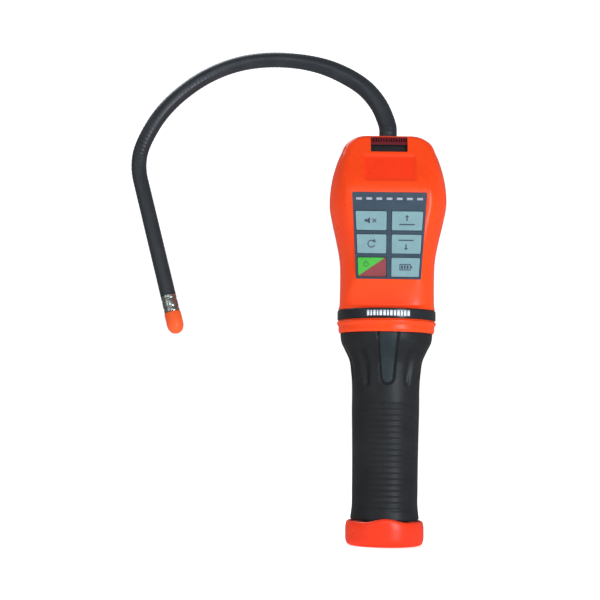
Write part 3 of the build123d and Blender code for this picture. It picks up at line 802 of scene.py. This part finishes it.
def tick(name, left, right, z):
    """A short pale bar printed on the band, following its curve."""
    radius = BAND_RADIUS + INK_LIFT
    columns = 5
    points = []
    for row in range(2):
        for k in range(columns):
            arc = (left + (right - left) * k / (columns - 1)) / radius
            points.append((radius * sin(arc), -radius * cos(arc), z + (row - 0.5) * TICK_HEIGHT))
    obj = add_mesh(name, points, grid_faces(2, columns, False), white_print)
    solid = obj.modifiers.new("ink", "SOLIDIFY")
    solid.thickness = 0.00005
    solid.offset = -1
    apply_modifiers(obj)
    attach(obj, "housing")


def wave(value, centre, half_width):
    """A smooth bump of height 1 about a centre, 0 beyond its half width."""
    t = np.clip(1 - np.abs(value - centre) / half_width, 0, 1)
    return t * t * (3 - 2 * t)


def tongue_reach(turn, z):
    """How far a point of the sleeve is outside the tongue's outline; negative inside it."""
    across = between(GRIP_OUTLINE, z)[..., 1] * np.abs(turn)
    foot = TONGUE_FOOT + TONGUE_HALF
    off = np.where(z > foot, across, np.hypot(across, z - foot))
    return off - TONGUE_HALF - TONGUE_FLARE * np.maximum(z - foot, 0)


def grip_radius(turn, z):
    """The sleeve's radius: outline, finger ribs, a raised tongue under the collar, hollows beside it."""
    radius = between(GRIP_OUTLINE, z)[..., 1]
    aside = np.abs(turn)
    top = RIB_BASE + (RIB_COUNT - 1) * RIB_PITCH
    phase = (z - RIB_BASE) / RIB_PITCH
    groove = np.cos(np.pi * np.clip((phase - np.round(phase)) / 0.5, -1, 1)) * 0.5 + 0.5
    groove *= step(z, RIB_BASE - 1.6, RIB_BASE - 0.8) * (1 - step(z, top + 0.8, top + 1.6))
    groove *= 1 - step(aside, RIB_HALF_ANGLE - 0.16, RIB_HALF_ANGLE)
    worn = WORN_SHARE + (1 - WORN_SHARE) * step(turn, *WORN_TURNS)
    radius = radius - RIB_DEPTH * worn * groove
    radius = radius - TONGUE_GROOVE * wave(tongue_reach(turn, z), 0.7, 1.0)
    for angle, half, deep, low, high in HOLLOWS:
        centre = radians(angle) * (1 + 0.12 * step(z, low, high))
        wide = radians(half) * (0.55 + 0.45 * step(z, low, low + 12))
        hollow = wave(aside, centre, wide) * step(z, low, low + 4) * (1 - step(z, high - 6, high))
        radius = radius - deep * hollow
    return radius


def make_grip():
    low, high = GRIP_OUTLINE[0][0], GRIP_OUTLINE[-1][0]
    columns, rows = 360, 330
    heights = np.linspace(low, high, rows)
    turns = np.linspace(-pi, pi, columns, endpoint=False)
    z, turn = np.meshgrid(heights, turns, indexing="ij")
    radius = grip_radius(turn, z)
    rounding = 0.5 * (1 - step(z, low, low + 1.0)) + 0.3 * step(z, high - 0.6, high)
    radius = radius - rounding
    outer = np.stack([radius * np.sin(turn), -radius * np.cos(turn), z], axis=-1).reshape(-1, 3)
    inner = []
    for inner_radius, height in ((23.0, high), (21.5, 112.0), (16.5, 98.0), (16.5, low)):
        for angle in turns:
            inner.append((inner_radius * sin(angle), -inner_radius * cos(angle), height))
    points = list(map(tuple, outer)) + inner
    faces = grid_faces(rows + 4, columns) + closing_faces(rows + 4, columns)
    obj = add_mesh("grip_sleeve_skin", points, faces, rubber, "housing", 40.0)
    obj.data.materials.append(rubber_tongue_sheen)
    # Faces inside the tongue's outline take the lighter rubber, a painted sheen.
    for face in obj.data.polygons:
        x, y, z = (c / MM for c in face.center)
        if y < 0 and z < high - 0.5 and tongue_reach(np.array(atan2(x, -y)), np.array(z)) < 0:
            face.material_index = 1
    merge(obj)
    smooth(obj, 40.0)
    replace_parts(obj, "grip_sleeve")


def make_cap():
    """The battery cap: a turned cup whose rim rises to a thumb tab in front."""
    corners = [(0, 0), (19.3, 0), (21.2, 1.0), (21.9, 3.6), (21.9, 10.6), (21.4, 13.0), (20.4, 13.8),
               (19.6, 13.5), (19.4, 12.6), (16.6, 12.4), (16.6, 4.0), (0, 4.0)]
    profile = rounded(corners, 1.2, 6)
    columns = 256
    points = []
    for radius, height in profile:
        for k in range(columns):
            turn = 2 * pi * k / columns - pi
            share = min(max((height - TAB_FOOT) / TAB_BLEND, 0), 1) * (radius > 19)
            lift = TAB_RISE * float(wave(np.array(turn), 0, TAB_HALF_ANGLE)) * share
            points.append((radius * sin(turn), -radius * cos(turn), height + lift))
    obj = add_mesh("battery_cap_skin", points, grid_faces(len(profile), columns), orange_cap_shaded,
                   "cap")
    merge(obj)
    smooth(obj, 50.0)
    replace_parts(obj, "battery_cap")
    make_knuckle()


def make_knuckle():
    """The cap's knuckle on the hinge pin, drawn in the plane across the pin."""
    hinge = Vector(JOINTS["battery_cap_hinge"]["pos_m"]) / MM
    corners = [(2.4, 0.0), (1.7, 1.7), (0.0, 2.4), (-1.7, 1.7),
               (-3.2, 0.6), (-3.6, -3.9), (-0.6, -3.9), (1.6, -1.9)]
    plane = Matrix.Translation(hinge) @ Matrix(((0, 0, 1, 0), (1, 0, 0, 0), (0, 1, 0, 0), (0, 0, 0, 1)))
    outline = round_outline(corners, 0.8)
    knuckle = prism("cap_knuckle", outline, -KNUCKLE_HALF, KNUCKLE_HALF, plane, orange_cap_shaded)
    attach(knuckle, "cap")


# ---- Probe -----------------------------------------------------------------
def probe_points():
    """Pivots of the neck, from the record's joints, with the sleeve's start and end."""
    names = ["neck_lean"] + [f"neck_curl_{k}" for k in range(1, CURLS + 1)]
    pivots = [Vector(JOINTS[name]["pos_m"]) / MM for name in names]
    axis = Vector(JOINTS["sensor_guard_pull"]["axis"])
    along = [(Vector(v.co) / MM - pivots[-1]).dot(axis) for v in NODES["tip_collar"].data.vertices]
    end = pivots[-1] + axis * min(along)
    start = Vector((0, NECK_Y, HEAD_TOP - 2.0))
    return start, pivots, end, axis


def boot_radius(distance):
    """The boot is thicker at the base and narrows to the plain sleeve."""
    t = min(max((distance - BOOT_LENGTH) / BOOT_TAPER, 0), 1)
    return BOOT_RADIUS + (NECK_RADIUS - BOOT_RADIUS) * t * t * (3 - 2 * t)


def sleeve_piece(name, line, radii, distances, bodies, bend_from, bend_to):
    """A stretch of sleeve round a curved line, faintly ribbed by the wound core beneath it."""
    columns = 48
    points = []
    side = Vector((0, 1, 0))
    for k, centre in enumerate(line):
        ahead = (line[min(k + 1, len(line) - 1)] - line[max(k - 1, 0)]).normalized()
        across = side.cross(ahead).normalized()
        other = ahead.cross(across)
        for j in range(columns):
            turn = 2 * pi * j / columns
            ripple = CORE_PRINT * cos(2 * pi * distances[k] / CORE_PITCH + turn)
            radius = radii[k] + ripple - CORE_PRINT
            points.append(centre + (across * cos(turn) + other * sin(turn)) * radius)
    obj = add_mesh(name, points, grid_faces(len(line), columns), sleeve_black, smooth_angle=60.0)
    merge(obj)
    smooth(obj, 60.0)
    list(bodies)
    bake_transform(obj)
    return obj


def make_neck():
    """The neck's sleeve, in one curved piece for each pivot, each meeting the next halfway."""
    start, pivots, end, axis = probe_points()
    ends = [start]
    ends += [(a + b) / 2 for a, b in zip(pivots, pivots[1:])]
    bodies = ["housing"] + [f"neck_{k}" for k in range(CURLS + 1)]
    distance = 0.0
    for k, pivot in enumerate(pivots):
        last = k == len(pivots) - 1
        reach = (pivot - ends[k]).length
        after = pivot + axis * reach if last else ends[k + 1]
        line = curve(ends[k], pivot, after, ceil(2 * reach / 0.6))
        if last:
            steps = ceil((end - after).length / 0.8)
            line += [after + (end - after) * (i / steps) for i in range(1, steps + 1)]
        distances = [distance]
        for a, b in zip(line, line[1:]):
            distances.append(distances[-1] + (b - a).length)
        radii = [boot_radius(d) for d in distances]
        distance = distances[-1]
        piece = sleeve_piece(f"neck_sleeve_{k}", line, radii, distances, bodies[k:k + 2], ends[k], after)
        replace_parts(piece, f"neck_link_{k}", *(["neck_root"] if k == 0 else []))


def make_tip():
    """The plain metal collar on the sleeve's end, and the orange guard over the sensor."""
    _, pivots, end, axis = probe_points()
    place = Matrix.Translation(end) @ axis.to_track_quat("Z", "Y").to_matrix().to_4x4()
    collar = [(0.5, -0.2), (4.1, -0.2), (4.3, 0.3)]
    for low in (1.8, COLLAR_LENGTH - 3.2):
        collar += [(4.3, low), (4.05, low + 0.4), (4.05, low + 1.0), (4.3, low + 1.4)]
    collar += [(4.3, COLLAR_LENGTH - 0.3), (4.15, COLLAR_LENGTH - 0.05), (0.5, COLLAR_LENGTH - 0.05)]
    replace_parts(turned("tip_collar_skin", rounded(collar, 0.15, 3), nickel, place, 96,
                       "neck_9"), "tip_collar")
    low, top, hole = COLLAR_LENGTH + 0.1, TIP_END, 0.9
    guard = [(3.45, low), (4.4, low), (TIP_RADIUS, low + 0.4), (TIP_RADIUS, top - TIP_NOSE)]
    for k in range(1, 15):
        turn = pi / 2 * k / 15
        guard.append((hole + (TIP_RADIUS - hole) * cos(turn), top - TIP_NOSE + TIP_NOSE * sin(turn)))
    guard += [(hole, top), (0.8, top - 0.5), (0.8, top - 1.3), (2.6, top - 2.6), (3.4, top - 5.2),
              (3.45, top - 6.5)]
    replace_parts(turned("sensor_guard_skin", guard, orange_guard, place, 96,
                       "guard", 50.0), "sensor_guard")


# ---- Keypad print ----------------------------------------------------------
def key_centre(key):
    """Middle of a key's face, on the keypad plane, from the CAD key's own box."""
    low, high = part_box(f"key_{key}")
    middle = (low + high) / 2 / MM
    height, across, up = off_plane(PANEL, np.array(middle)[None])
    return across[0], up[0]


def print_shape(name, key, outline, material=None):
    """A flat printed mark, a hair above the key's face."""
    across, up = key_centre(key)
    lifted = [(across + x, up + y) for x, y in outline]
    obj = prism(name, lifted, KEY_PROUD - 0.02, KEY_PROUD + 0.04, PANEL, material or navy_print)
    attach(obj, f"key_{key}")
    return obj


def bar(name, key, left, bottom, width, height, material=None):
    """A printed rectangle."""
    right, top = left + width, bottom + height
    print_shape(name, key, [(left, bottom), (right, bottom), (right, top), (left, top)], material)


def ring_mark(name, key, x, y, radius, thick, start, sweep, material=None):
    """Part of a ring, drawn as one closed band."""
    steps = 28
    outer, inner = [], []
    for k in range(steps + 1):
        turn = radians(start + sweep * k / steps)
        outer.append((x + radius * cos(turn), y + radius * sin(turn)))
        inner.append((x + (radius - thick) * cos(turn), y + (radius - thick) * sin(turn)))
    print_shape(name, key, outer + inner[::-1], material)


def arrow(name, key, x, y, rise):
    """A short arrow, pointing up or down with the sign of its rise."""
    half, stem = 1.25, 0.38
    head = y + rise * 1.9
    neck = y + rise * 0.5
    tail = y - rise * 1.5
    outline = [(x, head), (x - half, neck), (x - stem, neck), (x - stem, tail),
               (x + stem, tail), (x + stem, neck), (x + half, neck)]
    print_shape(name, key, outline)


def make_key_prints():
    """Plain pictograms on the six keys."""
    bar("print_mute_box", "mute", -3.6, -0.7, 1.3, 1.4)
    print_shape("print_mute_horn", "mute", [(-2.2, -0.7), (-0.6, -1.8), (-0.6, 1.8), (-2.2, 0.7)])
    for k, turn in enumerate((45, -45)):
        c, s = cos(radians(turn)) * 1.5, sin(radians(turn)) * 1.5
        x, wide, high = 1.9, -s * 0.18, c * 0.18
        print_shape(f"print_mute_cross_{k}", "mute", [
            (x - c - wide, -s - high), (x + c - wide, s - high),
            (x + c + wide, s + high), (x - c + wide, -s + high)])
    ring_mark("print_reset_ring", "reset", 0, 0, 2.2, 0.62, 60, 280)
    print_shape("print_reset_head", "reset", [(0.5, 1.0), (2.6, 0.7), (1.7, 2.9)])
    ring_mark("print_power_ring", "power", -3.2, 1.6, 1.5, 0.42, 120, 300, dark_green)
    bar("print_power_stroke", "power", -3.4, 1.8, 0.42, 1.9, dark_green)
    arrow("print_up_arrow", "sensitivity_up", -0.3, 1.4, 1)
    bar("print_up_line", "sensitivity_up", -4.6, -2.4, 8.6, 0.75)
    arrow("print_down_arrow", "sensitivity_down", -0.3, -1.6, -1)
    bar("print_down_line", "sensitivity_down", -4.4, 1.7, 8.2, 0.75)
    bar("print_battery_top", "battery_test", -3.4, 1.3, 6.2, 0.5)
    bar("print_battery_base", "battery_test", -3.4, -1.7, 6.2, 0.5)
    bar("print_battery_left", "battery_test", -3.4, -1.2, 0.5, 2.5)
    bar("print_battery_right", "battery_test", 2.3, -1.2, 0.5, 2.5)
    bar("print_battery_pole", "battery_test", 2.9, -0.6, 0.6, 1.3)
    for k in range(3):
        bar(f"print_battery_bar_{k}", "battery_test", -2.5 + 1.55 * k, -0.9, 1.0, 1.9)


# ---- Materials of the CAD nodes that stay as they are ----------------------
def dress(material, *names):
    """Gives CAD nodes a material."""
    for name in names:
        mesh = NODES[name].data
        mesh.materials.clear()
        mesh.materials.append(material)


def dress_nodes():
    low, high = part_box("key_power")
    power_film = make_power_film((low + high) / 2, (0.060, 0.44, 0.042), (0.26, 0.038, 0.046))
    dress(pad_film, "keypad_overlay")
    dress(key_film, *[f"key_{key}" for key in KEYS if key != "power"])
    dress(power_film, "key_power")
    dress(lens, "level_leds")
    dress(nickel, "key_domes", "cap_contact", "top_contact", "sensor_element")
    dress(steel, "cap_spring", "cap_hinge_pin", "cover_screws")
    dress(board, "keypad_board", "main_board")
    dress(kapton, "ribbon_cable")
    dress(chip_black, "board_chips")
    dress(cell_jacket, "battery_cell_1", "battery_cell_2", "board_capacitors")
    dress(copper_wound, "step_up_transformer")
    dress(lead_red, "battery_leads")
    dress(rubber, "cap_seal")
    dress(black_plastic, "beeper", "sound_vent", "neck_gland", "gland_nut", "sensor_socket")
    dress(alloy, "handle_tube")


# ---- Stage, light and camera -----------------------------------------------
def make_stage():
    """A pale floor that curves up into a backdrop."""
    back, bend, top = 1.2, 0.6, 2.6
    profile = [(-1.6, 0.0), (back, 0.0)]
    for k in range(1, 13):
        turn = pi / 2 * k / 12
        profile.append((back + bend * sin(turn), bend - bend * cos(turn)))
    profile.append((back + bend, top))
    points = [(x / MM, y / MM, z / MM) for y, z in profile for x in (-3.0, 3.0)]
    faces = [(2 * k, 2 * k + 1, 2 * k + 3, 2 * k + 2) for k in range(len(profile) - 1)]
    floor = add_mesh("studio_floor", points, faces, make_floor(), smooth_angle=60.0)
    floor.visible_glossy = False


def softbox(name, place, aim, size, power, colour=(1.0, 1.0, 1.0)):
    """A rectangular area light, turned towards a point."""
    light = bpy.data.lights.new(name, "AREA")
    light.shape = "RECTANGLE"
    light.size, light.size_y = size
    light.energy = power
    light.color = colour
    obj = bpy.data.objects.new(name, light)
    bpy.context.scene.collection.objects.link(obj)
    obj.location = place
    obj.rotation_euler = (Vector(aim) - Vector(place)).to_track_quat("-Z", "Y").to_euler()


def make_lights():
    softbox("key_light", (0.52, -0.80, 0.08), (0.0, 0.0, 0.15), (0.22, 0.60), 8.6, (0.80, 0.92, 1.0))
    softbox("front_light", (0.05, -0.95, 0.44), (0.0, 0.0, 0.17), (0.90, 0.12), 1.9)
    softbox("fill_light", (-0.80, -0.70, 0.50), (-0.02, 0.0, 0.14), (0.5, 0.7), 1.2, (0.86, 0.94, 1.0))
    softbox("top_light", (-0.35, 0.40, 0.90), (-0.05, 0.0, 0.2), (0.5, 0.5), 4.2, (0.85, 0.93, 1.0))
    world = bpy.data.worlds.new("studio")
    bpy.context.scene.world = world
    world.use_nodes = True
    world.node_tree.nodes["Background"].inputs["Color"].default_value = (1.0, 1.0, 1.0, 1.0)
    world.node_tree.nodes["Background"].inputs["Strength"].default_value = 0.19


def make_camera():
    """A camera at the photo's place, a little below the head, rolled as the photo is."""
    data = bpy.data.cameras.new("camera")
    camera = bpy.data.objects.new("camera", data)
    bpy.context.scene.collection.objects.link(camera)
    place = Vector((-0.035, -0.810, 0.070))
    aim = Vector((-0.0490, 0.0, 0.1366))
    camera.location = place
    look = (aim - place).to_track_quat("-Z", "Y").to_matrix().to_4x4()
    camera.rotation_euler = (look @ Matrix.Rotation(radians(CAMERA_ROLL), 4, "Z")).to_euler()
    data.sensor_width = 36.0
    data.lens = 36.0 * (aim - place).length / FRAME_WIDTH
    bpy.context.scene.camera = camera


# ---- Build -----------------------------------------------------------------
bpy.context.scene.view_settings.view_transform = "Standard"
make_camera()
make_lights()
make_stage()
skin_points, skin_faces = head_skin()
make_front_cover(skin_points, skin_faces)
make_louvres()
make_rear_cover(skin_points, skin_faces)
make_collar()
make_band()
make_grip()
make_cap()
make_neck()
make_tip()
make_key_prints()
dress_nodes()
